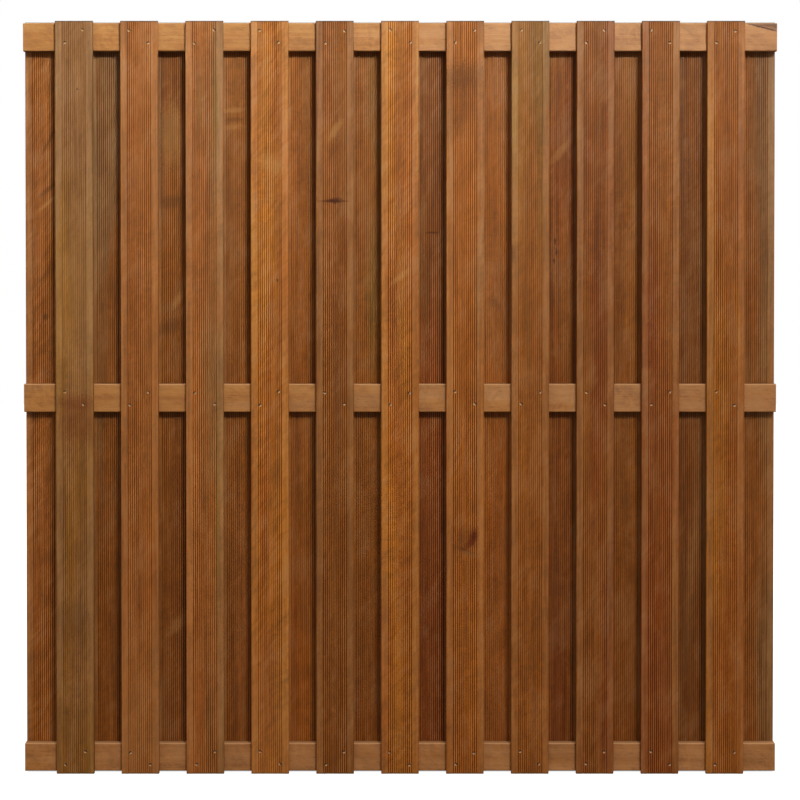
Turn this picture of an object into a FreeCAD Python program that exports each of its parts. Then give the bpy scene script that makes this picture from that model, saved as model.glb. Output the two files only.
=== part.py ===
import FreeCAD, Part
import math
import os
import Sketcher

# Hardwood fence panel: ribbed boards nailed by turns to the front and the back of three rails.
# Millimetres. X runs along the panel to the right, Y from its front to its back, and Z up.
# The origin is the centre of the bottom rail's left end, which meets the post.

# Driving sizes
SIZES = {
    "panel_width": 1800,       # length of a rail, from post to post
    "panel_height": 1800,      # length of a board
    "rail_height": 67,
    "rail_thickness": 34,
    "rail_inset": 4,           # how far the outer rails stay back from the boards' ends
    "rail_edge_radius": 3,     # rounding of a rail's long edges
    "board_width": 90,
    "board_thickness": 14,
    "board_edge_radius": 2,    # rounding of a board's long edges
    "least_lap": 12,           # least width of a back board behind the edge of a front board
    "groove_pitch": 5,
    "groove_width": 2.6,       # across the mouth of a groove
    "groove_floor": 1.4,       # across its flat bottom
    "groove_depth": 1.2,
    "smooth_band": 16,         # least plain width beside the outermost groove
}

# How the other sizes and places follow from the driving ones
RAIL_RISE = "(sizes.panel_height - 2 * sizes.rail_inset - sizes.rail_height)"
BOARD_FOOT = "-(sizes.rail_height / 2 + sizes.rail_inset)"
BOARD_STAND_OFF = "(sizes.rail_thickness + sizes.board_thickness) / 2"
RIBBED_WIDTH = "(sizes.board_width - 2 * sizes.smooth_band - sizes.groove_width)"
GROOVE_COUNT = f"(floor({RIBBED_WIDTH} / sizes.groove_pitch) + 1)"
GROOVE_SPREAD = f"({GROOVE_COUNT} - 1) * sizes.groove_pitch"

ORIGIN = (-1, 1)      # a sketch's own origin, as a constraint names it
START, END = 1, 2     # the ends of a line, as a constraint names them
ALONG_X = FreeCAD.Vector(1, 0, 0)
ALONG_Z = FreeCAD.Vector(0, 0, 1)


def sheet_of_sizes(doc):
    """The sheet that every sub-part reads its sizes from."""
    sheet = doc.addObject("Spreadsheet::Sheet", "sizes")
    for row, (alias, value) in enumerate(SIZES.items(), start=1):
        sheet.set(f"A{row}", str(value))
        sheet.setAlias(f"A{row}", alias)
    doc.recompute()
    return sheet


def front_board_count(sheet):
    """Enough front boards, one over each gap, for the boards to lap by the least lap."""
    widest_pitch = 2 * (sheet.board_width - sheet.least_lap)
    return math.ceil((sheet.panel_width - sheet.board_width) / widest_pitch)


def sketch_on(body, plane_role, name):
    """A sketch on one of the body's own origin planes."""
    sketch = body.newObject("Sketcher::SketchObject", name)
    plane = next(feature for feature in body.Origin.OriginFeatures if feature.Role == plane_role)
    sketch.AttachmentSupport = [(plane, "")]
    sketch.MapMode = "FlatFace"
    return sketch


def value_of(sketch, expression):
    """What an expression on the sheet comes to now."""
    return float(sketch.evalExpression(expression))


def draw_outline(sketch, corners):
    """Four lines through the corners, which are pairs of expressions, joined end to end."""
    points = [FreeCAD.Vector(value_of(sketch, x), value_of(sketch, y)) for x, y in corners]
    lines = [
        sketch.addGeometry(Part.LineSegment(start, end))
        for start, end in zip(points, points[1:] + points[:1])
    ]
    for line, following in zip(lines, lines[1:] + lines[:1]):
        sketch.addConstraint(Sketcher.Constraint("Coincident", line, END, following, START))
    return lines


def bind(sketch, kind, elements, name, expression):
    """A named dimension of the sketch, bound to the sheet."""
    constraint = Sketcher.Constraint(kind, *elements, value_of(sketch, expression))
    number = sketch.addConstraint(constraint)
    sketch.renameConstraint(number, name)
    sketch.setExpression(f"Constraints.{name}", expression)


def draw_section(sketch, width, height):
    """The sawn section of a plank, a rectangle about the sketch's origin."""
    left, right, bottom, top = f"-{width} / 2", f"{width} / 2", f"-{height} / 2", f"{height} / 2"
    corners = ((left, bottom), (right, bottom), (right, top), (left, top))
    foot, right_side, head, left_side = draw_outline(sketch, corners)
    for line in (foot, head):
        sketch.addConstraint(Sketcher.Constraint("Horizontal", line))
    for line in (right_side, left_side):
        sketch.addConstraint(Sketcher.Constraint("Vertical", line))
    sketch.addConstraint(Sketcher.Constraint("Symmetric", foot, START, head, START, *ORIGIN))
    bind(sketch, "DistanceX", (foot, START, foot, END), "width", width)
    bind(sketch, "DistanceY", (right_side, START, right_side, END), "height", height)


def draw_groove(sketch):
    """The groove nearest a board's left edge, open to the front, with flanks that lean alike."""
    front = "-sizes.board_thickness / 2"
    mouth_left = f"-{GROOVE_SPREAD} / 2 - sizes.groove_width / 2"
    mouth_right = f"{mouth_left} + sizes.groove_width"
    floor_left = f"{mouth_left} + (sizes.groove_width - sizes.groove_floor) / 2"
    floor_right = f"{floor_left} + sizes.groove_floor"
    bottom = f"{front} + sizes.groove_depth"
    corners = ((mouth_left, front), (mouth_right, front), (floor_right, bottom), (floor_left, bottom))
    mouth, right_flank, groove_floor, left_flank = draw_outline(sketch, corners)
    for line in (mouth, groove_floor):
        sketch.addConstraint(Sketcher.Constraint("Horizontal", line))
    sketch.addConstraint(Sketcher.Constraint("Equal", right_flank, left_flank))
    bind(sketch, "DistanceX", (*ORIGIN, mouth, START), "mouth_left", mouth_left)
    bind(sketch, "DistanceY", (*ORIGIN, mouth, START), "front", front)
    bind(sketch, "DistanceX", (mouth, START, mouth, END), "mouth_width", "sizes.groove_width")
    bind(sketch, "DistanceX", (groove_floor, END, groove_floor, START), "floor_width", "sizes.groove_floor")
    bind(sketch, "DistanceY", (mouth, START, groove_floor, END), "depth", "sizes.groove_depth")


def saw_plank(body, section, length):
    """The section drawn out to the plank's length."""
    plank = body.newObject("PartDesign::Pad", "plank")
    plank.Profile = section
    plank.setExpression("Length", length)
    body.Document.recompute()
    return plank


def round_long_edges(body, plank, direction, radius):
    """The plank with its four long edges rounded."""
    long_edges = [
        f"Edge{number}"
        for number, edge in enumerate(plank.Shape.Edges, start=1)
        if (edge.Vertexes[1].Point - edge.Vertexes[0].Point).cross(direction).Length < 1e-6
    ]
    rounded = body.newObject("PartDesign::Fillet", "rounded_edges")
    rounded.Base = (plank, long_edges)
    rounded.setExpression("Radius", radius)
    body.Document.recompute()
    return rounded


def plough_grooves(body, plank):
    """Parallel grooves along the front of a board, from end to end."""
    profile = sketch_on(body, "XY_Plane", "groove_profile")
    draw_groove(profile)
    groove = body.newObject("PartDesign::Pocket", "groove")
    groove.Profile = profile
    groove.Type = "ThroughAll"
    groove.Reversed = True
    grooves = body.newObject("PartDesign::LinearPattern", "grooves")
    grooves.Originals = [groove]
    grooves.Direction = (profile, ["H_Axis"])
    grooves.setExpression("Length", GROOVE_SPREAD)
    grooves.setExpression("Occurrences", GROOVE_COUNT)
    body.Tip = grooves
    body.Document.recompute()

    one_groove = plank.Shape.Volume - groove.Shape.Volume
    all_grooves = plank.Shape.Volume - grooves.Shape.Volume
    if one_groove <= 0 or not math.isclose(all_grooves, grooves.Occurrences * one_groove, rel_tol=1e-6):
        raise ValueError(f"{body.Label}: the grooves are not cut")


def place_at(body, x, y, z):
    """The body's place in the panel, bound to the sheet."""
    for axis, expression in (("x", x), ("y", y), ("z", z)):
        body.setExpression(f".Placement.Base.{axis}", expression)


def board(doc, name, x, y):
    """An upright board, ribbed on its front, whose section is centred on x and y."""
    body = doc.addObject("PartDesign::Body", name)
    section = sketch_on(body, "XY_Plane", "section")
    draw_section(section, "sizes.board_width", "sizes.board_thickness")
    plank = saw_plank(body, section, "sizes.panel_height")
    rounded = round_long_edges(body, plank, ALONG_Z, "sizes.board_edge_radius")
    plough_grooves(body, rounded)
    place_at(body, x, y, BOARD_FOOT)
    return body


def rail(doc, name, z):
    """A planed rail whose left end is centred on the height z."""
    body = doc.addObject("PartDesign::Body", name)
    section = sketch_on(body, "YZ_Plane", "section")
    draw_section(section, "sizes.rail_thickness", "sizes.rail_height")
    plank = saw_plank(body, section, "sizes.panel_width")
    round_long_edges(body, plank, ALONG_X, "sizes.rail_edge_radius")
    place_at(body, "0", "0", z)
    return body


def fence_panel(doc):
    """Every sub-part of the panel, in its place."""
    front_boards = front_board_count(sheet_of_sizes(doc))
    pitch = f"(sizes.panel_width - sizes.board_width) / {front_boards}"
    bodies = [
        rail(doc, "bottom_rail", "0"),
        rail(doc, "middle_rail", f"{RAIL_RISE} / 2"),
        rail(doc, "top_rail", RAIL_RISE),
    ]
    for number in range(front_boards):
        x = f"sizes.board_width / 2 + ({number} + 1 / 2) * {pitch}"
        bodies.append(board(doc, f"front_board_{number + 1:02d}", x, f"-{BOARD_STAND_OFF}"))
    for number in range(front_boards + 1):
        x = f"sizes.board_width / 2 + {number} * {pitch}"
        bodies.append(board(doc, f"back_board_{number + 1:02d}", x, BOARD_STAND_OFF))
    doc.recompute()
    return bodies


def check(doc, bodies):
    """Stops if anything in the document failed."""
    for item in doc.Objects:
        if "Invalid" in item.State or "Error" in item.State:
            raise ValueError(f"{item.Label} is {item.State}")
    for body in bodies:
        if body.Shape.isNull() or not body.Shape.isValid() or len(body.Shape.Solids) != 1:
            raise ValueError(f"{body.Label} is not one valid solid")


def write_steps(bodies):
    """One STEP file for each sub-part."""
    os.makedirs("parts", exist_ok=True)
    for body in bodies:
        body.Shape.exportStep(f"parts/{body.Label}.step")
        print(body.Label, round(body.Shape.Volume / 1000), "cm3")


document = FreeCAD.newDocument("hardwood_fence_panel")
panel = fence_panel(document)
check(document, panel)
write_steps(panel)
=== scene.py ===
import bpy
import math
import random
from mathutils import Matrix, Vector


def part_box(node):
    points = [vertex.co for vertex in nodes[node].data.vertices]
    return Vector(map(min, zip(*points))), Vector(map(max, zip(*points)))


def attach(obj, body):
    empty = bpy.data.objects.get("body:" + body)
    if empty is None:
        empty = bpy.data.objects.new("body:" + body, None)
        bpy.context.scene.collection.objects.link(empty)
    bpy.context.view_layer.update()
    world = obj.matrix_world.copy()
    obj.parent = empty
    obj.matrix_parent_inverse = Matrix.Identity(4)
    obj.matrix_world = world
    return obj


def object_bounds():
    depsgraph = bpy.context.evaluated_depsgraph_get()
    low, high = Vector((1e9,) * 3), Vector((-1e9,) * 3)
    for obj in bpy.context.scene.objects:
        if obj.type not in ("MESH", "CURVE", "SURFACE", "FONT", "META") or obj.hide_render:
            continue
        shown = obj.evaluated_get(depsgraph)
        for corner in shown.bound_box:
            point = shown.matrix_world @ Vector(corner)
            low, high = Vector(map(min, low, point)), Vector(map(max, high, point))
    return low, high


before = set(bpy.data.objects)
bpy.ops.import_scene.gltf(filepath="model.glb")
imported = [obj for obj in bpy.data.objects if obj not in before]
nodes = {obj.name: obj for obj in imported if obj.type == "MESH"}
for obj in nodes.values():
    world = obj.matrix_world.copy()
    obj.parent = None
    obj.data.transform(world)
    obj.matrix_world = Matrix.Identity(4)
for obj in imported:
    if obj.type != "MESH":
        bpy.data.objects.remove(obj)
cadLow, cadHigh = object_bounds()
bpy.ops.object.select_all(action="DESELECT")

frontBoards = sorted(name for name in nodes if name.startswith("front_board"))
backBoards = sorted(name for name in nodes if name.startswith("back_board"))
rails = ["bottom_rail", "middle_rail", "top_rail"]
print("frame loaded:", len(frontBoards), "front boards and", len(backBoards), "back boards")


# small helpers for shader nodes, which are laid out in rows to be read in the editor
nodeRows = {"length": 9, "across": 240, "down": 300}


def addNode(tree, kind, inputs=None, **settings):
    node = tree.nodes.new(kind)
    row, column = divmod(len(tree.nodes), nodeRows["length"])
    node.location = (nodeRows["across"] * column, -nodeRows["down"] * row)
    for name, value in settings.items():
        setattr(node, name, value)
    for name, value in (inputs or {}).items():
        if isinstance(value, bpy.types.NodeSocket):
            tree.links.new(value, node.inputs[name])
        else:
            node.inputs[name].default_value = value
    return node


def placeGroup(tree, group, inputs):
    return addNode(tree, "ShaderNodeGroup", inputs, node_tree=group).outputs


def doMath(tree, operation, first, second=0.0, third=0.0, clamp=False):
    values = {0: first, 1: second, 2: third}
    return addNode(tree, "ShaderNodeMath", values, operation=operation, use_clamp=clamp).outputs[0]


def doVector(tree, operation, first, second):
    return addNode(tree, "ShaderNodeVectorMath", {0: first, 1: second}, operation=operation).outputs[0]


def lengthOf(tree, vector):
    return addNode(tree, "ShaderNodeVectorMath", {0: vector}, operation="LENGTH").outputs["Value"]


def axesOf(tree, vector):
    return addNode(tree, "ShaderNodeSeparateXYZ", {0: vector}).outputs


def tilted(tree, vector, angle):      # turned about Y, radians
    values = {"Vector": vector, "Angle": angle}
    return addNode(tree, "ShaderNodeVectorRotate", values, rotation_type="Y_AXIS").outputs[0]


def mixColour(tree, factor, first, second, blend="MIX"):
    settings = {"data_type": "RGBA", "blend_type": blend, "clamp_factor": True}
    return addNode(tree, "ShaderNodeMix", {0: factor, 6: first, 7: second}, **settings).outputs[2]


def spread(tree, value, low, high, newLow=0.0, newHigh=1.0):    # a soft step from newLow to newHigh
    values = {"Value": value, "From Min": low, "From Max": high, "To Min": newLow, "To Max": newHigh}
    return addNode(tree, "ShaderNodeMapRange", values, interpolation_type="SMOOTHSTEP").outputs[0]


def addNoise(tree, vector, scale=1.0, detail=2.0, roughness=0.5, distortion=0.0):    # value and colour
    values = {"Vector": vector, "Scale": scale, "Detail": detail, "Roughness": roughness}
    return addNode(tree, "ShaderNodeTexNoise", {**values, "Distortion": distortion}).outputs


def addPatches(tree, vector, layer):    # noise, with so many patches a metre on each axis
    stretched = doVector(tree, "MULTIPLY", vector, layer["patches"])
    return addNoise(tree, stretched, 1.0, *layer["character"])[0]


def addLayer(tree, vector, layer):      # the same, made to go from its least to its most between two levels
    noise = addPatches(tree, vector, layer)
    return spread(tree, noise, *layer["levels"], *layer.get("span", (0.0, 1.0)))


def wandering(tree, vector, scale=1.0):     # a vector that wanders half a unit each way about nought
    return doVector(tree, "SUBTRACT", addNoise(tree, vector, scale)[1], (0.5, 0.5, 0.5))


def newGroup(name, inputs, outputs):     # inputs and outputs: name to kind, or to (kind, default)
    tree = bpy.data.node_groups.new(name, "ShaderNodeTree")
    for label, kind in inputs.items():
        kind, default = kind if isinstance(kind, tuple) else (kind, None)
        socket = tree.interface.new_socket(label, in_out="INPUT", socket_type="NodeSocket" + kind)
        if default is not None:
            socket.default_value = default
    for label, kind in outputs.items():
        tree.interface.new_socket(label, in_out="OUTPUT", socket_type="NodeSocket" + kind)
    return tree, addNode(tree, "NodeGroupInput").outputs, addNode(tree, "NodeGroupOutput")


wornAndSheenTone = (0.48, 0.28, 0.12, 1)      # bare wood where the face is worn or scuffed; on the board fronts it also serves as a painted sheen

# grain: the figure of the wood, with its fibres along Z
# each layer of noise: its patches a metre across and along the grain, its detail, roughness and distortion,
# the levels between which it goes from its least to its most, and what these are where not 0 and 1
grainLayers = {
    "band": {"patches": (34, 34, 0.8), "character": (3.0, 0.6), "levels": (0.34, 0.66)},
    "streak": {"patches": (170, 170, 4), "character": (3.0, 0.6), "levels": (0.30, 0.70)},
    "fibre": {"patches": (620, 620, 22), "character": (2.0, 0.6), "levels": (0.30, 0.70)},
    "wood": {"patches": (26, 26, 1.6), "character": (3.0, 0.5)},
    "bars": {"patches": (30, 30, 62), "character": (3.0, 0.55, 1.2), "levels": (0.35, 0.65), "span": (-1, 1)},
    "barsHere": {"patches": (9, 9, 3.2), "character": (2.0, 0.5), "levels": (0.42, 0.62)},
    "blotch": {"patches": (24, 24, 10), "character": (4.0, 0.6), "levels": (0.36, 0.64), "span": (-1, 1)},
    "flame": {"patches": (75, 75, 16), "character": (3.0, 0.6, 0.6), "levels": (0.34, 0.66), "span": (-1, 1)},
    "pore": {"patches": (900, 900, 55), "character": (1.0, 0.5), "levels": (0.60, 0.72)},
}
grainLook = {
    "wander": (5, 5, 1.1),               # how often the fibres wander to either side on their way up
    "sway": (0.03, 0.03, 0.1),           # and how far, metres
    "bandShare": 0.32,                   # what the tone is made of
    "streakShare": 0.36,
    "fibreShare": 0.32,
    "woodEdge": 0.12,                    # how soft the edge between the two woods is
    "ringStretch": (1.0, 1.0, 0.055),
    "rings": {"Scale": 26.0, "Distortion": 2.4, "Detail": 2.0, "Detail Scale": 1.3},
    "flameTilt": -38,                    # degrees
    "cloudLight": 0.6,                   # how much the pale clouds show, beside the dark ones
    "pore": (0.03, 0.012, 0.006, 1),
    "poreShare": 0.7,
    "poreDepth": 0.9,
    "fibreHeight": 0.5,
    "roughness": 0.40,
    "toneGloss": 0.08,                   # how much less rough the palest tone is
}


def makeGrain():
    inputs = {
        "Vector": "Vector",       # from the middle of the piece, metres
        "Seed": "Vector",
        "Deep": ("Color", (0.14, 0.05, 0.018, 1)),
        "Pale": ("Color", (0.34, 0.14, 0.05, 1)),
        "Other Deep": ("Color", (0.14, 0.05, 0.018, 1)),
        "Other Pale": ("Color", (0.25, 0.12, 0.05, 1)),
        "Other Share": ("Float", 0.5),
        "Drift": ("Float", 0.0),         # how much more of the other wood towards the upper end
        "Lean": ("Float", 0.0),          # and towards the right
        "Contrast": ("Float", 1.0),
        "Ripple": ("Float", 0.2),
        "Blotches": ("Float", 0.08),
        "Flame": ("Float", 0.05),        # slanting streaks
        "Arches": ("Float", 0.2),
        "Pores": ("Float", 0.5),
    }
    outputs = {"Colour": "Color", "Height": "Float", "Roughness": "Float"}
    tree, given, result = newGroup("grain", inputs, outputs)
    seeded = doVector(tree, "ADD", given["Vector"], given["Seed"])
    sway = wandering(tree, doVector(tree, "MULTIPLY", seeded, grainLook["wander"]))
    vector = doVector(tree, "ADD", seeded, doVector(tree, "MULTIPLY", sway, grainLook["sway"]))

    # growth rings that the saw cut along, which close in long arches
    flattened = doVector(tree, "MULTIPLY", vector, grainLook["ringStretch"])
    settings = {"wave_type": "RINGS", "rings_direction": "SPHERICAL"}
    rings = addNode(tree, "ShaderNodeTexWave", {"Vector": flattened, **grainLook["rings"]}, **settings)
    arches = doMath(tree, "SUBTRACT", rings.outputs[1], 0.5)
    arches = doMath(tree, "MULTIPLY", arches, given["Arches"])

    band = addLayer(tree, vector, grainLayers["band"])
    streak = addLayer(tree, vector, grainLayers["streak"])
    fibre = addLayer(tree, vector, grainLayers["fibre"])
    tone = doMath(tree, "MULTIPLY", band, grainLook["bandShare"])
    tone = doMath(tree, "MULTIPLY_ADD", streak, grainLook["streakShare"], tone)
    tone = doMath(tree, "MULTIPLY_ADD", fibre, grainLook["fibreShare"], tone)
    tone = doMath(tree, "SUBTRACT", tone, 0.5)
    tone = doMath(tree, "MULTIPLY_ADD", tone, given["Contrast"], 0.5, clamp=True)
    tone = doMath(tree, "ADD", tone, arches, clamp=True)

    # two woods, the other one where the noise is above its share
    place = axesOf(tree, given["Vector"])
    hue = addPatches(tree, vector, grainLayers["wood"])
    hue = doMath(tree, "MULTIPLY_ADD", place[2], given["Drift"], hue)
    hue = doMath(tree, "MULTIPLY_ADD", place[0], given["Lean"], hue)
    edge = doMath(tree, "SUBTRACT", 1.0, given["Other Share"])
    before = doMath(tree, "SUBTRACT", edge, grainLook["woodEdge"])
    after = doMath(tree, "ADD", edge, grainLook["woodEdge"])
    colour = mixColour(tree, tone, given["Deep"], given["Pale"])
    other = mixColour(tree, tone, given["Other Deep"], given["Other Pale"])
    colour = mixColour(tree, spread(tree, hue, before, after), colour, other)

    # curly figure: short bars across the grain, in patches
    bars = addLayer(tree, vector, grainLayers["bars"])
    bars = doMath(tree, "MULTIPLY", bars, addLayer(tree, vector, grainLayers["barsHere"]))
    light = doMath(tree, "MULTIPLY_ADD", bars, given["Ripple"], 1.0)
    # blotches and slanting streaks: the dark ones darken the wood, the pale ones bring the worn tone
    slanted = tilted(tree, vector, math.radians(grainLook["flameTilt"]))
    flame = doMath(tree, "MULTIPLY", addLayer(tree, slanted, grainLayers["flame"]), given["Flame"])
    blotch = addLayer(tree, vector, grainLayers["blotch"])
    cloud = doMath(tree, "MULTIPLY_ADD", blotch, given["Blotches"], flame)
    light = doMath(tree, "ADD", light, doMath(tree, "MINIMUM", cloud, 0.0))
    colour = mixColour(tree, 1.0, colour, light, "MULTIPLY")
    lighter = doMath(tree, "MULTIPLY", doMath(tree, "MAXIMUM", cloud, 0.0), grainLook["cloudLight"])
    colour = mixColour(tree, lighter, colour, wornAndSheenTone)

    # open pores, short dark dashes along the grain
    pore = doMath(tree, "MULTIPLY", addLayer(tree, vector, grainLayers["pore"]), given["Pores"])
    inPore = mixColour(tree, grainLook["poreShare"], colour, grainLook["pore"])
    colour = mixColour(tree, pore, colour, inPore)

    height = doMath(tree, "MULTIPLY", pore, -grainLook["poreDepth"])
    height = doMath(tree, "MULTIPLY_ADD", fibre, grainLook["fibreHeight"], height)
    rough = doMath(tree, "MULTIPLY_ADD", tone, -grainLook["toneGloss"], grainLook["roughness"])
    for label, value in (("Colour", colour), ("Height", height), ("Roughness", rough)):
        tree.links.new(value, result.inputs[label])
    return tree


# ribbing: the ridges and grooves of a board's front, with painted highlights on the ridges and painted shade
# with dust in the grooves, its worn face with a painted sheen, a painted glare on its upper part, and its
# sawn ends
ribbing = {
    "halfRibbed": 0.0295,     # the ribbed middle of a board, each way from its centre line
    "faceTo": 0.00005,        # how far below the board's front its face still takes the worn tone, its painted sheen and the painted ridge highlight,
    "dustFrom": 0.0003,       # where the dust and painted shade in a groove begin,
    "dustFull": 0.0008,       # where it is full,
    "dustTo": 0.0016,         # and where it ends, just under the groove's floor
    # the grooves are painted dark, partly dust and partly painted shade
    "dustAndShade": {"patches": (60, 1, 4), "character": (3.0, 0.65), "levels": (0.35, 0.65), "span": (0.6, 1.3)},
    "ridgeHighlight": 0.24,            # painted highlight: how much lighter the ridges are painted than the smooth wood, where they catch the light
    "marginShade": 0.06,      # how much darker the smooth margins are
    # the worn tone on the face is partly wear and partly a painted sheen
    "wornAndSheen": {"patches": (260, 1, 5), "character": (3.0, 0.6), "levels": (0.35, 0.7), "span": (0.03, 0.15)},
    "marginSheen": 0.035,      # how much more of the worn tone the margins take, as a painted sheen
    "groove": (0.074, 0.015, 0.001, 1),
    "grooveShare": 0.80,
    "grooveDullness": 0.5,
    "glareFrom": -0.2,      # above a board's middle; from there up the wood is painted less saturated and cooler, a painted glare of the light on the upper boards
    "glareTint": (1.0, 1.045, 1.33, 1),
    "sawnEnd": (0.05, 0.028, 0.016, 1),
    "endDepth": 0.0045,       # how far the dark of a sawn end reaches
    "endShare": 0.85,
}


def makeRibbing():
    inputs = {
        "Vector": "Vector",       # from the middle of the board's front, metres
        "Seed": "Vector",
        "Colour": "Color",
        "Half Length": "Float",
        "Depth": ("Float", 1.0),      # how strongly the ribs show
        "Rise": ("Float", 0.0),       # and how much more a metre further up
    }
    tree, given, result = newGroup("ribbing", inputs, {"Colour": "Color", "Dull": "Float"})
    place = axesOf(tree, given["Vector"])
    shifted = doVector(tree, "ADD", given["Vector"], given["Seed"])
    ribbed = doMath(tree, "LESS_THAN", doMath(tree, "ABSOLUTE", place[0]), ribbing["halfRibbed"])
    margin = doMath(tree, "SUBTRACT", 1.0, ribbed)
    depth = doMath(tree, "MULTIPLY_ADD", place[2], given["Rise"], 1.0)
    depth = doMath(tree, "MULTIPLY", given["Depth"], depth)
    front = spread(tree, place[1], ribbing["faceTo"], ribbing["dustFrom"], 1.0, 0.0)

    # the face: painted highlights on the ridges, and the worn tone in streaks, partly wear and partly a
    # painted sheen
    # painted highlight on the ridges, with the smooth margins a little darker
    ridgeHighlightAndMarginShade = doMath(tree, "MULTIPLY", ribbed, doMath(tree, "MULTIPLY", depth, ribbing["ridgeHighlight"]))
    ridgeHighlightAndMarginShade = doMath(tree, "MULTIPLY_ADD", margin, -ribbing["marginShade"], ridgeHighlightAndMarginShade)
    ridgeHighlightAndMarginShade = doMath(tree, "MULTIPLY_ADD", ridgeHighlightAndMarginShade, front, 1.0)
    colour = mixColour(tree, 1.0, given["Colour"], ridgeHighlightAndMarginShade, "MULTIPLY")
    # worn tone in streaks: partly wear, partly a painted sheen
    wornAndSheen = addLayer(tree, shifted, ribbing["wornAndSheen"])
    wornAndSheen = doMath(tree, "MULTIPLY_ADD", margin, ribbing["marginSheen"], wornAndSheen)
    colour = mixColour(tree, doMath(tree, "MULTIPLY", wornAndSheen, front), colour, wornAndSheenTone)

    # the grooves: painted dark, partly dust and partly painted shade in the recess, and rough from the plough
    deep = spread(tree, place[1], ribbing["dustFrom"], ribbing["dustFull"])
    above = doMath(tree, "LESS_THAN", place[1], ribbing["dustTo"])
    dustAndShade = doMath(tree, "MULTIPLY", doMath(tree, "MULTIPLY", ribbed, deep), above)
    patchy = doMath(tree, "MULTIPLY", depth, addLayer(tree, shifted, ribbing["dustAndShade"]))
    dustAndShade = doMath(tree, "MULTIPLY", dustAndShade, patchy, clamp=True)
    # painted shade with dust in the grooves
    dustyAndShaded = mixColour(tree, ribbing["grooveShare"], colour, ribbing["groove"])
    colour = mixColour(tree, dustAndShade, colour, dustyAndShaded)
    dull = doMath(tree, "MULTIPLY", deep, ribbing["grooveDullness"])

    # painted sheen: from a little below the middle up, the wood is made less saturated and cooler
    greyed = spread(tree, place[2], ribbing["glareFrom"], given["Half Length"])
    colour = mixColour(tree, greyed, colour, ribbing["glareTint"], "MULTIPLY")
    fromEnd = doMath(tree, "SUBTRACT", given["Half Length"], doMath(tree, "ABSOLUTE", place[2]))
    end = spread(tree, fromEnd, 0.0, ribbing["endDepth"], ribbing["endShare"], 0.0)
    colour = mixColour(tree, end, colour, ribbing["sawnEnd"])
    tree.links.new(colour, result.inputs["Colour"])
    tree.links.new(dull, result.inputs["Dull"])
    return tree


# mark: a spot or bar of another tone in the wood, such as a knot, a stain or a pale streak
markLook = {
    "raggedScale": 260.0,
    "full": 0.25,             # how far out it is at full strength, in parts of its reach,
    "faded": 1.0,             # and where it ends
    "through": 0.5,           # its reach from front to back, metres, so that it shows on both faces
}


def makeMark():
    inputs = {
        "Vector": "Vector",
        "Colour": "Color",
        "Place": "Vector",
        "Reach": ("Vector", (0.01, 0.05, 0.01)),
        "Tilt": ("Float", 0.0),       # how steeply it rises to the right, radians
        "Tone": ("Color", (0.04, 0.018, 0.009, 1)),
        "Strength": ("Float", 0.7),
    }
    tree, given, result = newGroup("mark", inputs, {"Colour": "Color"})
    away = doVector(tree, "SUBTRACT", given["Vector"], given["Place"])
    away = doVector(tree, "DIVIDE", tilted(tree, away, given["Tilt"]), given["Reach"])
    away = doVector(tree, "ADD", away, wandering(tree, given["Vector"], markLook["raggedScale"]))
    mask = spread(tree, lengthOf(tree, away), markLook["full"], markLook["faded"], 1.0, 0.0)
    mask = doMath(tree, "MULTIPLY", mask, given["Strength"])
    tree.links.new(mixColour(tree, mask, given["Colour"], given["Tone"]), result.inputs["Colour"])
    return tree


grain = makeGrain()
ribs = makeRibbing()
mark = makeMark()

# the woods: deep and pale tone of each
woods = {
    "honey": ((0.223, 0.060, 0.0036), (0.428, 0.138, 0.0103)),
    "orange": ((0.185, 0.042, 0.0029), (0.370, 0.101, 0.0080)),
    "brown": ((0.139, 0.033, 0.0025), (0.289, 0.083, 0.0069)),
    "red": ((0.127, 0.024, 0.0018), (0.264, 0.060, 0.0053)),
    "pink": ((0.164, 0.042, 0.0050), (0.334, 0.101, 0.0154)),
    "olive": ((0.124, 0.043, 0.0041), (0.263, 0.101, 0.0118)),
    "moss": ((0.113, 0.042, 0.0047), (0.234, 0.100, 0.0133)),
    "umber": ((0.094, 0.023, 0.0017), (0.205, 0.056, 0.0047)),
    "ash": ((0.120, 0.043, 0.0087), (0.250, 0.101, 0.0256)),
    "larch": ((0.250, 0.080, 0.0134), (0.400, 0.164, 0.0370)),
    "straw": ((0.283, 0.104, 0.0270), (0.434, 0.188, 0.0680)),
    "pine": ((0.262, 0.096, 0.0224), (0.402, 0.174, 0.0560)),
}

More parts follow.
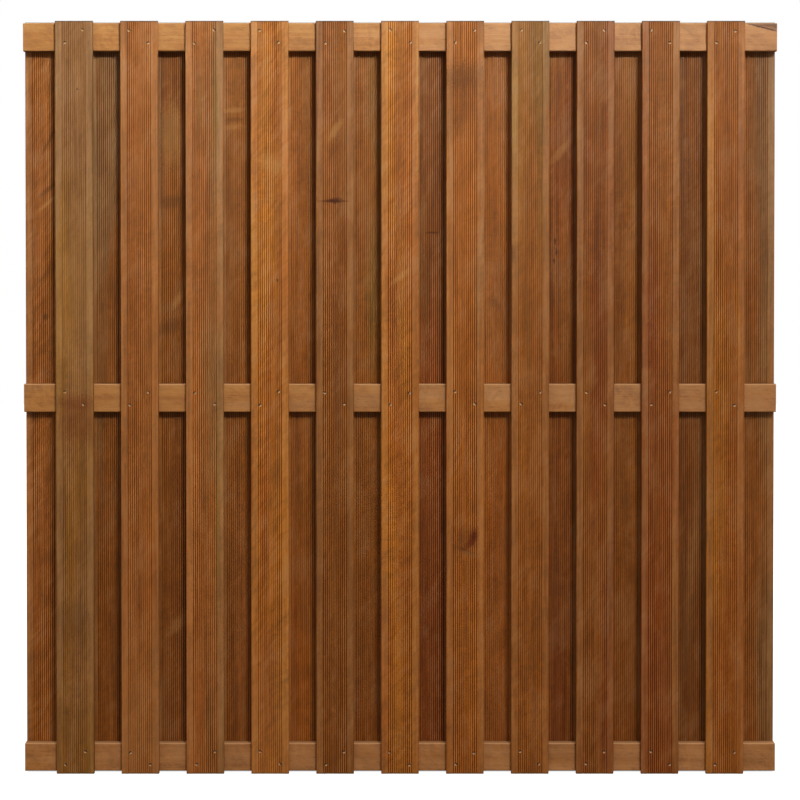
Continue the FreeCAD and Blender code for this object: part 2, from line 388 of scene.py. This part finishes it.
# each board, from the left: its wood and the other wood in it, the other one's share, how light the board
# is, how strongly its ribs show, where its figure differs from plainFigure, and its marks
# a mark: its tone, its place and its reach across and along the board in metres, its tilt in degrees, and
# its strength
frontLooks = [
    {"woods": ("olive", "ash"), "share": 0.55, "drift": 0.1, "light": 1.08, "ribs": 0.45, "marks": [
        ("pale", (0.000, 0.230), (0.100, 0.300), 0, 0.12),
        ("knot", (0.008, 0.738), (0.0030, 0.0040), 0, 0.9),
        ("heart", (0.004, -0.010), (0.070, 0.026), 0, 0.45),
        ("heart", (0.008, -0.055), (0.080, 0.080), 0, 0.4),
        ("stain", (-0.002, -0.530), (0.060, 0.070), 0, 0.35),
    ]},
    {"woods": ("orange", "pink"), "share": 0.6, "light": 0.99, "ribs": 0.75, "marks": [
        ("pale", (0.000, -0.780), (0.120, 0.300), 0, 0.15),
    ]},
    {"woods": ("pink", "ash"), "share": 0.38, "lean": 5.0, "light": 1.10, "ribs": 0.9, "marks": [
        ("moss", (0.026, 0.680), (0.006, 0.160), 0, 0.4),
        ("moss", (-0.012, 0.700), (0.005, 0.120), 0, 0.3),
        ("moss", (0.030, -0.300), (0.005, 0.350), 0, 0.35),
    ]},
    {"woods": ("honey", "orange"), "share": 0.5, "light": 1.05, "ripple": 0.12, "flame": 0.15,
     "ribs": 0.9, "marks": [
        ("pale", (0.000, -0.780), (0.120, 0.300), 0, 0.12),
        ("knot", (0.018, 0.282), (0.0045, 0.0070), 0, 0.7),
        ("pale", (0.006, 0.560), (0.030, 0.060), 60, 0.25),
    ]},
    {"woods": ("brown", "pink"), "share": 0.4, "light": 0.845, "ribs": 1.15, "arches": 0.2, "marks": [
        ("knot", (-0.004, 0.471), (0.052, 0.0040), 0, 0.75),
        ("knot", (-0.001, 0.472), (0.026, 0.0095), 0, 0.9),
        ("pale", (0.000, 0.640), (0.045, 0.012), 60, 0.3),
        ("stain", (-0.004, 0.590), (0.040, 0.012), 60, 0.3),
    ]},
    {"woods": ("orange", "honey"), "share": 0.5, "light": 1.02, "ripple": 0.1, "flame": 0.13,
     "ribs": 1.15, "marks": [
        ("pale", (0.000, 0.290), (0.040, 0.010), 40, 0.3),
    ]},
    {"woods": ("brown", "ash"), "share": 0.3, "lean": 1.5, "light": 1.25, "arches": 0.2,
     "ribs": 1.6, "marks": [
        ("stain", (-0.006, 0.770), (0.080, 0.050), 8, 0.5),
        ("stain", (-0.010, 0.700), (0.090, 0.110), -10, 0.3),
        ("stain", (0.004, -0.335), (0.032, 0.045), 0, 0.3),
        ("heart", (0.019, -0.333), (0.034, 0.015), 74, 0.95),
        ("knot", (0.021, -0.332), (0.022, 0.007), 78, 0.6),
        ("heart", (0.008, -0.350), (0.030, 0.010), 40, 0.6),
        ("stain", (0.000, -0.366), (0.046, 0.010), -26, 0.4),
        ("pale", (0.012, -0.374), (0.036, 0.008), -18, 0.15),
    ]},
    {"woods": ("brown", "olive"), "share": 0.36, "drift": 0.2, "light": 1.06, "ribs": 0.5, "marks": [
        ("stain", (-0.042, 0.345), (0.010, 0.030), 0, 0.5),
    ]},
    {"woods": ("brown", "red"), "share": 0.45, "lean": 3.0, "light": 0.885, "ribs": 0.7, "marks": [
        ("stain", (0.003, 0.400), (0.009, 0.200), 0, 0.4),
    ]},
    {"woods": ("red", "brown"), "share": 0.5, "drift": 0.15, "lean": 3.0, "light": 0.95,
     "ribs": 1.1, "marks": [
        ("heart", (0.000, 0.220), (0.100, 0.200), 0, 0.15),
    ]},
    {"woods": ("orange", "honey"), "share": 0.45, "lean": -4.0, "light": 0.865, "ribs": 0.75},
]
backLooks = [
    {"woods": ("pink", "brown"), "share": 0.5, "light": 1.10, "ripple": 0.1, "flame": 0.15, "marks": [
        ("stain", (0.014, 0.620), (0.060, 0.006), 62, 0.5),
        ("stain", (0.010, 0.500), (0.050, 0.008), 40, 0.5),
        ("pale", (0.012, 0.470), (0.050, 0.006), 40, 0.4),
        ("stain", (0.006, 0.300), (0.050, 0.008), 55, 0.4),
        ("stain", (0.002, 0.194), (0.010, 0.012), 0, 0.7),
    ]},
    {"woods": ("brown", "ash"), "share": 0.4, "drift": 0.2, "light": 0.92, "ribs": 0.7},
    {"woods": ("brown", "umber"), "share": 0.25, "drift": 0.45, "light": 0.95, "ribs": 0.9, "marks": [
        ("pale", (-0.005, 0.630), (0.040, 0.110), 0, 0.25),
        ("stain", (-0.005, 0.470), (0.045, 0.024), 10, 0.5),
        ("stain", (-0.010, 0.170), (0.045, 0.026), 20, 0.45),
        ("pale", (0.010, 0.235), (0.035, 0.014), 60, 0.3),
        ("pale", (0.006, -0.550), (0.050, 0.018), 45, 0.25),
    ]},
    {"woods": ("brown", "pink"), "share": 0.45, "light": 0.97, "ribs": 0.5, "marks": [
        ("pale", (-0.010, 0.690), (0.034, 0.010), 5, 0.35),
        ("stain", (-0.008, 0.668), (0.034, 0.008), 5, 0.4),
        ("pale", (-0.010, 0.650), (0.034, 0.010), 5, 0.25),
    ]},
    {"woods": ("orange", "brown"), "share": 0.5, "lean": 4.0, "light": 0.97, "ribs": 0.45},
    {"woods": ("brown", "moss"), "share": 0.32, "lean": 5.0, "light": 1.03, "ribs": 0.48},
    {"woods": ("red", "umber"), "share": 0.4, "drift": 0.6, "light": 0.92, "ribs": 2.0, "marks": [
        ("knot", (0.000, 0.396), (0.024, 0.0040), 0, 0.7),
    ]},
    {"woods": ("orange", "pink"), "share": 0.5, "light": 1.03, "ribs": 0.27, "marks": [
        ("stain", (-0.006, 0.230), (0.014, 0.020), 30, 0.3),
    ]},
    {"woods": ("brown", "red"), "share": 0.5, "light": 0.89, "ribs": 0.3, "arches": 0.3, "marks": [
        ("knot", (-0.016, 0.375), (0.0045, 0.012), 0, 0.7),
        ("knot", (-0.013, 0.350), (0.0040, 0.014), 0, 0.7),
        ("knot", (-0.018, 0.328), (0.0040, 0.010), 0, 0.7),
        ("pale", (-0.004, 0.590), (0.050, 0.014), 50, 0.25),
    ]},
    {"woods": ("brown", "olive"), "share": 0.28, "light": 0.98, "ribs": 0.3},
    {"woods": ("umber", "ash"), "share": 0.4, "light": 1.08, "ribs": 0.55},
    {"woods": ("brown", "ash"), "share": 0.45, "lean": 3.0, "light": 0.98, "ribs": 0.6},
]
railLooks = [     # from the lowest up
    {"woods": ("larch", "pine"), "share": 0.6, "drift": 0.2, "light": 1.0, "arches": 0.2},
    {"woods": ("larch", "pine"), "share": 0.5, "drift": 0.15, "light": 0.98, "arches": 0.2},
    {"woods": ("larch", "straw"), "share": 0.45, "drift": 0.6, "light": 0.985, "marks": [
        ("stain", (0.884, 0.030), (0.060, 0.014), -12, 0.8),
        ("knot", (0.862, 0.024), (0.072, 0.0030), -14, 0.95),
        ("knot", (0.850, 0.030), (0.040, 0.0016), -8, 0.7),
    ]},
]

markTones = {
    "knot": (0.050, 0.011, 0.003, 1),
    "heart": (0.130, 0.026, 0.005, 1),
    "stain": (0.070, 0.023, 0.006, 1),
    "moss": (0.150, 0.105, 0.018, 1),
    "pale": (0.430, 0.210, 0.065, 1),
}

# the figure of a piece, where its look says nothing else
plainFigure = {
    "drift": 0.0, "lean": 0.0, "contrast": 1.0, "ripple": 0.08, "blotches": 0.13, "flame": 0.06,
    "arches": 0.1, "pores": 0.5,
}
woodBump = {"Strength": 0.35, "Distance": 0.0004}     # fibres and pores
boardFinish = {
    "specular": 0.12,
    "frontRise": 0.1,         # how much more the ribs show a metre further up
    "backRise": 0.3,
}
railFinish = {
    "specular": 0.22,
    "contrast": 0.7,
    "dullness": 0.16,         # how much rougher a rail is than a board,
    "upperDullness": 0.34,    # and its upper face than the rest of it, from the weather
    "upperFrom": 0.003,       # below the rail's top
    "upperFull": 0.0005,
    "pale": (0.62, 0.34, 0.16, 1),       # painted highlight on the upper arris and the front of the upper face, where the top catches the light
    "highlightShare": 0.6,
    "highlightTo": -0.002,         # behind the rail's middle: how far back it is full,
    "highlightEnd": 0.016,         # and where it has faded
    "shade": (0.09, 0.03, 0.01, 1),      # painted shade along the lower arris, which faces down away from the light
    "shadeShare": 0.6,
    "shadeReach": 0.0025,
}
dice = random.Random(11)


def anySeed():
    return (dice.uniform(3, 90), dice.uniform(3, 90), dice.uniform(3, 90))


def lit(colour, light):
    return (colour[0] * light, colour[1] * light, colour[2] * light, 1.0)


def startMaterial(name):
    material = bpy.data.materials.new(name)
    material.use_nodes = True
    tree = material.node_tree
    tree.nodes.clear()
    output = addNode(tree, "ShaderNodeOutputMaterial")
    shader = addNode(tree, "ShaderNodeBsdfPrincipled")
    tree.links.new(shader.outputs[0], output.inputs[0])
    return material, tree, shader, addNode(tree, "ShaderNodeTexCoord").outputs


def addGrain(tree, vector, seed, look):
    (deep, pale), (otherDeep, otherPale) = [woods[wood] for wood in look["woods"]]
    light = look["light"]
    figure = {label.capitalize(): look.get(label, plain) for label, plain in plainFigure.items()}
    return placeGroup(tree, grain, {
        "Vector": vector, "Seed": seed, "Other Share": look["share"],
        "Deep": lit(deep, light), "Pale": lit(pale, light),
        "Other Deep": lit(otherDeep, light), "Other Pale": lit(otherPale, light), **figure,
    })


def addMarks(tree, look, seat, colour):
    for tone, (across, along), (wide, tall), tilt, strength in look.get("marks", []):
        colour = placeGroup(tree, mark, {
            "Vector": seat, "Colour": colour, "Tone": markTones[tone], "Strength": strength,
            "Place": (across, 0, along), "Reach": (wide, markLook["through"], tall),
            "Tilt": math.radians(tilt),
        })["Colour"]
    return colour


def finishWood(tree, shader, colour, made, dullness, specular):
    rough = doMath(tree, "ADD", made["Roughness"], dullness, clamp=True)
    bump = addNode(tree, "ShaderNodeBump", {"Height": made["Height"], **woodBump}).outputs[0]
    tree.links.new(colour, shader.inputs["Base Color"])
    tree.links.new(rough, shader.inputs["Roughness"])
    tree.links.new(bump, shader.inputs["Normal"])
    shader.inputs["Specular IOR Level"].default_value = specular


def boardMaterial(name, look, rise):     # its pattern is seated on the middle of the board's front
    low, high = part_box(name)
    middle = Vector(((low.x + high.x) / 2, low.y, (low.z + high.z) / 2))
    material, tree, shader, coordinates = startMaterial(name + "_wood")
    seat = {"Vector": coordinates["Object"], "Location": -middle}
    seat = addNode(tree, "ShaderNodeMapping", seat).outputs[0]
    seed = anySeed()
    made = addGrain(tree, seat, seed, look)
    ribbed = placeGroup(tree, ribs, {
        "Vector": seat, "Seed": seed, "Colour": made["Colour"], "Half Length": (high.z - low.z) / 2,
        "Depth": look.get("ribs", 1.0), "Rise": rise,
    })
    colour = addMarks(tree, look, seat, ribbed["Colour"])
    finishWood(tree, shader, colour, made, ribbed["Dull"], boardFinish["specular"])
    return material


def railMaterial(name, look):            # and this one's on the middle of the rail
    low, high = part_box(name)
    material, tree, shader, coordinates = startMaterial(name + "_wood")
    seat = {"Vector": coordinates["Object"], "Location": -(low + high) / 2}
    seat = addNode(tree, "ShaderNodeMapping", seat).outputs[0]
    # turned so that the grain runs along the rail, its far end on the right
    turned = {"Vector": seat, "Rotation": (0, math.radians(-90), 0)}
    turned = addNode(tree, "ShaderNodeMapping", turned).outputs[0]
    made = addGrain(tree, turned, anySeed(), {"contrast": railFinish["contrast"], **look})
    colour = addMarks(tree, look, seat, made["Colour"])
    # the upper face is rough from the weather, and painted paler towards its front arris, a painted highlight
    # where it catches the light
    place = axesOf(tree, seat)
    top = (high.z - low.z) / 2
    upper = spread(tree, place[2], top - railFinish["upperFrom"], top - railFinish["upperFull"])
    pale = spread(tree, place[1], railFinish["highlightTo"], railFinish["highlightEnd"], railFinish["highlightShare"], 0.0)
    # painted highlight on the front of the upper face
    colour = mixColour(tree, doMath(tree, "MULTIPLY", upper, pale), colour, railFinish["pale"])
    # painted shade along the lower arris
    shade = spread(tree, place[2], -top, railFinish["shadeReach"] - top, railFinish["shadeShare"], 0.0)
    colour = mixColour(tree, shade, colour, railFinish["shade"])
    dullness = doMath(tree, "MULTIPLY_ADD", upper, railFinish["upperDullness"], railFinish["dullness"])
    finishWood(tree, shader, colour, made, dullness, railFinish["specular"])
    return material


def dress(name, material):
    slots = nodes[name].material_slots
    if not slots:
        nodes[name].data.materials.append(material)
    for slot in slots:
        slot.material = material


for name, look in zip(frontBoards, frontLooks):
    dress(name, boardMaterial(name, look, boardFinish["frontRise"]))
for name, look in zip(backBoards, backLooks):
    dress(name, boardMaterial(name, look, boardFinish["backRise"]))
for name, look in zip(rails, railLooks):
    dress(name, railMaterial(name, look))
print("woods set on every board and rail")


# nails: two where a board crosses a rail, on alternate diagonals, each sunk in a shallow dish with painted
# light and shade
nail = {
    "dishRadius": 0.0035,
    "headRadius": 0.0016,
    "proud": 0.00006,         # how far the dish's disc stands off the wood, to be seen at all
    "thickness": 0.0004,
    "sides": 16,
    "across": 0.0225,         # from the board's centre line
    "along": 0.0145,          # from the rail's centre line
    "jitter": 0.0018,
    "roll": 1.2,              # how far the painted dark side of a dish may turn, radians
    "headEdge": 0.05,         # how soft the head's edge is, in parts of the dish's radius
    "steel": ((0.12, 0.085, 0.055, 1), (0.30, 0.24, 0.17, 1)),
    "tarnishScale": 420.0,
    "tarnishLevels": (0.35, 0.65),
    "paintedLitLip": (0.50, 0.27, 0.13, 1),            # painted highlight on the dish's lower lip, where it faces up to the light
    "paintedShadedHollow": (0.035, 0.013, 0.005, 1),      # and painted shade on its upper side
    "lipEdge": (-0.5, 0.2),
    "metallic": 0.5,
    "roughness": 0.6,
    "specular": 0.15,
    "bumpDepth": 0.0014,
}


def makeDish():     # a disc that faces -Y, mapped so that its edge is one unit from the middle of the map
    bpy.ops.mesh.primitive_cylinder_add(
        vertices=nail["sides"], radius=nail["dishRadius"], depth=nail["thickness"],
        location=(0, nail["thickness"] / 2 - nail["proud"], 0), rotation=(math.radians(90), 0, 0),
    )
    dish = bpy.context.object
    bpy.ops.object.transform_apply(location=True, rotation=True, scale=True)
    for face in dish.data.polygons:      # the round face that shows
        face.select = face.normal.y < -0.9
    bpy.ops.object.mode_set(mode="EDIT")
    bpy.ops.mesh.select_mode(type="FACE")
    bpy.ops.mesh.inset(thickness=nail["dishRadius"] - nail["headRadius"], depth=0)
    bpy.ops.object.mode_set(mode="OBJECT")
    layer = dish.data.uv_layers.active
    for loop in dish.data.loops:
        place = dish.data.vertices[loop.vertex_index].co
        layer.data[loop.index].uv = (place.x / nail["dishRadius"], place.z / nail["dishRadius"])
    return dish


def copyTo(source, matrix, name):
    twin = source.copy()
    twin.data = source.data.copy()
    twin.name = name
    twin.data.transform(matrix)
    bpy.context.collection.objects.link(twin)
    return twin


def joinAs(parts, name, material):
    bpy.ops.object.select_all(action="DESELECT")
    for part in parts:
        part.select_set(True)
    bpy.context.view_layer.objects.active = parts[0]
    bpy.ops.object.join()
    joined = bpy.context.object
    joined.name = name
    joined.data.name = name
    joined.data.materials.clear()
    joined.data.materials.append(material)
    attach(joined, "root")
    bpy.ops.object.select_all(action="DESELECT")


def nailMaterial():
    material, tree, shader, coordinates = startMaterial("nail_steel")
    chart = coordinates["UV"]
    reach = lengthOf(tree, chart)
    headRadius = nail["headRadius"] / nail["dishRadius"]
    head = spread(tree, reach, headRadius - nail["headEdge"], headRadius + nail["headEdge"], 1.0, 0.0)
    tarnish = addNoise(tree, coordinates["Object"], nail["tarnishScale"], 3.0)[0]
    steel = mixColour(tree, spread(tree, tarnish, *nail["tarnishLevels"]), *nail["steel"])
    rise = axesOf(tree, chart)[1]
    # painted light and shade in the dish: a pale lower lip and a dark upper side
    dishLightAndShade = mixColour(tree, spread(tree, rise, *nail["lipEdge"]), nail["paintedLitLip"], nail["paintedShadedHollow"])
    dish = spread(tree, reach, headRadius, 1.0)
    bump = {"Height": dish, "Strength": 1.0, "Distance": nail["bumpDepth"]}
    bump = addNode(tree, "ShaderNodeBump", bump).outputs[0]
    tree.links.new(mixColour(tree, head, dishLightAndShade, steel), shader.inputs["Base Color"])
    tree.links.new(doMath(tree, "MULTIPLY", head, nail["metallic"]), shader.inputs["Metallic"])
    tree.links.new(bump, shader.inputs["Normal"])
    shader.inputs["Roughness"].default_value = nail["roughness"]
    shader.inputs["Specular IOR Level"].default_value = nail["specular"]
    return material


def nailPlaces(boards, side):    # side: -1 for nails driven from the front, 1 from the back
    places = []
    for number, name in enumerate(boards):
        low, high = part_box(name)
        face = low.y if side < 0 else high.y
        for rail in rails:
            railLow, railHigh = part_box(rail)
            lean = 1 if number % 2 == 0 else -1      # which diagonal the pair lies on
            if rail == "middle_rail":
                lean = -lean
            for end in (-1, 1):
                x = (low.x + high.x) / 2 + end * nail["across"] + dice.uniform(-1, 1) * nail["jitter"]
                z = (railLow.z + railHigh.z) / 2 + end * lean * nail["along"]
                z += dice.uniform(-1, 1) * nail["jitter"]
                places.append(Vector((x, face, z)))
    return places


def driveNails(boards, side, name, material):
    dish = makeDish()
    turn = Matrix.Rotation(math.pi, 4, "Z") if side > 0 else Matrix.Identity(4)
    dishes = []
    for place in nailPlaces(boards, side):
        roll = Matrix.Rotation(dice.uniform(-nail["roll"], nail["roll"]), 4, "Y")
        dishes.append(copyTo(dish, Matrix.Translation(place) @ turn @ roll, name))
    bpy.data.objects.remove(dish)
    joinAs(dishes, name, material)


steel = nailMaterial()
driveNails(frontBoards, -1, "front_nails", steel)
driveNails(backBoards, 1, "back_nails", steel)
print("nails driven")


# stage: a white floor that keeps a soft shadow, and a white surround
stage = {
    "floorSize": 30.0,
    "floorColour": (0.85, 0.85, 0.85, 1),
    "floorGlow": 0.8,          # what brings the lit floor up to white for the camera
    "floorBounce": (0.3, 0.3, 0.3, 1),       # how pale the floor is to everything but the camera
    "ambient": (0.68, 0.645, 0.61, 1),
    "glossy": 0.1,             # share of the ambient light that shows in a sheen
    "white": (1, 1, 1, 1),
}


def makeFloor():
    middle = ((cadLow.x + cadHigh.x) / 2, 0, cadLow.z)
    bpy.ops.mesh.primitive_plane_add(size=stage["floorSize"], location=middle)
    floor = bpy.context.object
    floor.name = "floor"
    material = bpy.data.materials.new("floor_white")
    material.use_nodes = True
    tree = material.node_tree
    tree.nodes.clear()
    output = addNode(tree, "ShaderNodeOutputMaterial")
    seen = addNode(tree, "ShaderNodeBsdfDiffuse", {"Color": stage["floorColour"]}).outputs[0]
    glow = {"Color": stage["white"], "Strength": stage["floorGlow"]}
    glow = addNode(tree, "ShaderNodeEmission", glow).outputs[0]
    white = addNode(tree, "ShaderNodeAddShader", {0: seen, 1: glow}).outputs[0]
    plain = addNode(tree, "ShaderNodeBsdfDiffuse", {"Color": stage["floorBounce"]}).outputs[0]
    camera = addNode(tree, "ShaderNodeLightPath").outputs["Is Camera Ray"]
    mixed = addNode(tree, "ShaderNodeMixShader", {0: camera, 1: plain, 2: white}).outputs[0]
    tree.links.new(mixed, output.inputs[0])
    floor.data.materials.append(material)


def makeWorld():
    world = bpy.data.worlds.new("studio")
    bpy.context.scene.world = world
    world.use_nodes = True
    tree = world.node_tree
    tree.nodes.clear()
    output = addNode(tree, "ShaderNodeOutputWorld")
    path = addNode(tree, "ShaderNodeLightPath").outputs
    share = spread(tree, path["Is Glossy Ray"], 0.0, 1.0, 1.0, stage["glossy"])
    ambient = {"Color": stage["ambient"], "Strength": share}
    ambient = addNode(tree, "ShaderNodeBackground", ambient).outputs[0]
    white = addNode(tree, "ShaderNodeBackground", {"Color": stage["white"], "Strength": 1.0}).outputs[0]
    mixed = {0: path["Is Camera Ray"], 1: ambient, 2: white}
    mixed = addNode(tree, "ShaderNodeMixShader", mixed).outputs[0]
    tree.links.new(mixed, output.inputs[0])


# lamps: a soft box high on the right, and a hooded lamp beside it that is aimed over the panel's top
lamps = {
    "softBox": {"aim": (0.9, 0.0, 0.9), "power": 490, "spread": 180, "colour": (1, 0.97, 0.95)},
    "hooded": {"aim": (0.8, 0.0, 3.3), "power": 64, "spread": 28, "colour": (0.76, 0.97, 1)},
}
lampPlace = (3.2, -8.5, 5.4)
lampSize = 1.8


def addLamp(name, look):
    bpy.ops.object.light_add(type="AREA", location=lampPlace)
    lamp = bpy.context.object
    lamp.name = name
    lamp.data.shape = "SQUARE"
    lamp.data.size = lampSize
    lamp.data.energy = look["power"]
    lamp.data.spread = math.radians(look["spread"])
    lamp.data.color = look["colour"]
    towards = Vector(look["aim"]) - Vector(lampPlace)
    lamp.rotation_euler = towards.to_track_quat("-Z", "Y").to_euler()


makeFloor()
makeWorld()
for name, look in lamps.items():
    addLamp(name, look)
print("stage and lamps set")


# camera: level with the upper boards, so that the tops of the lower rails just show
view = {
    "distance": 6.2,          # in front of the rails' faces
    "eyeHeight": 1.25,        # above the boards' feet
    "span": 1.913,            # metres of the rails' plane that the picture is wide
    "shiftY": -0.12,
    "aimAbove": -0.0045,      # above the panel's centre
}


def makeCamera():
    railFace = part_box("bottom_rail")[0].y
    centre = (cadLow + cadHigh) / 2
    data = bpy.data.cameras.new("camera")
    camera = bpy.data.objects.new("camera", data)
    bpy.context.scene.collection.objects.link(camera)
    camera.location = (centre.x, railFace - view["distance"], cadLow.z + view["eyeHeight"])
    data.sensor_width = 36.0
    data.lens = data.sensor_width * view["distance"] / view["span"]
    data.shift_y = view["shiftY"]
    drop = math.atan((camera.location.z - centre.z - view["aimAbove"]) / view["distance"])
    pitch = drop - math.atan(-view["shiftY"] * view["span"] / view["distance"])
    camera.rotation_euler = (math.radians(90) - pitch, 0, 0)
    bpy.context.scene.camera = camera


makeCamera()
bpy.context.scene.view_settings.view_transform = "Standard"
print("camera set")
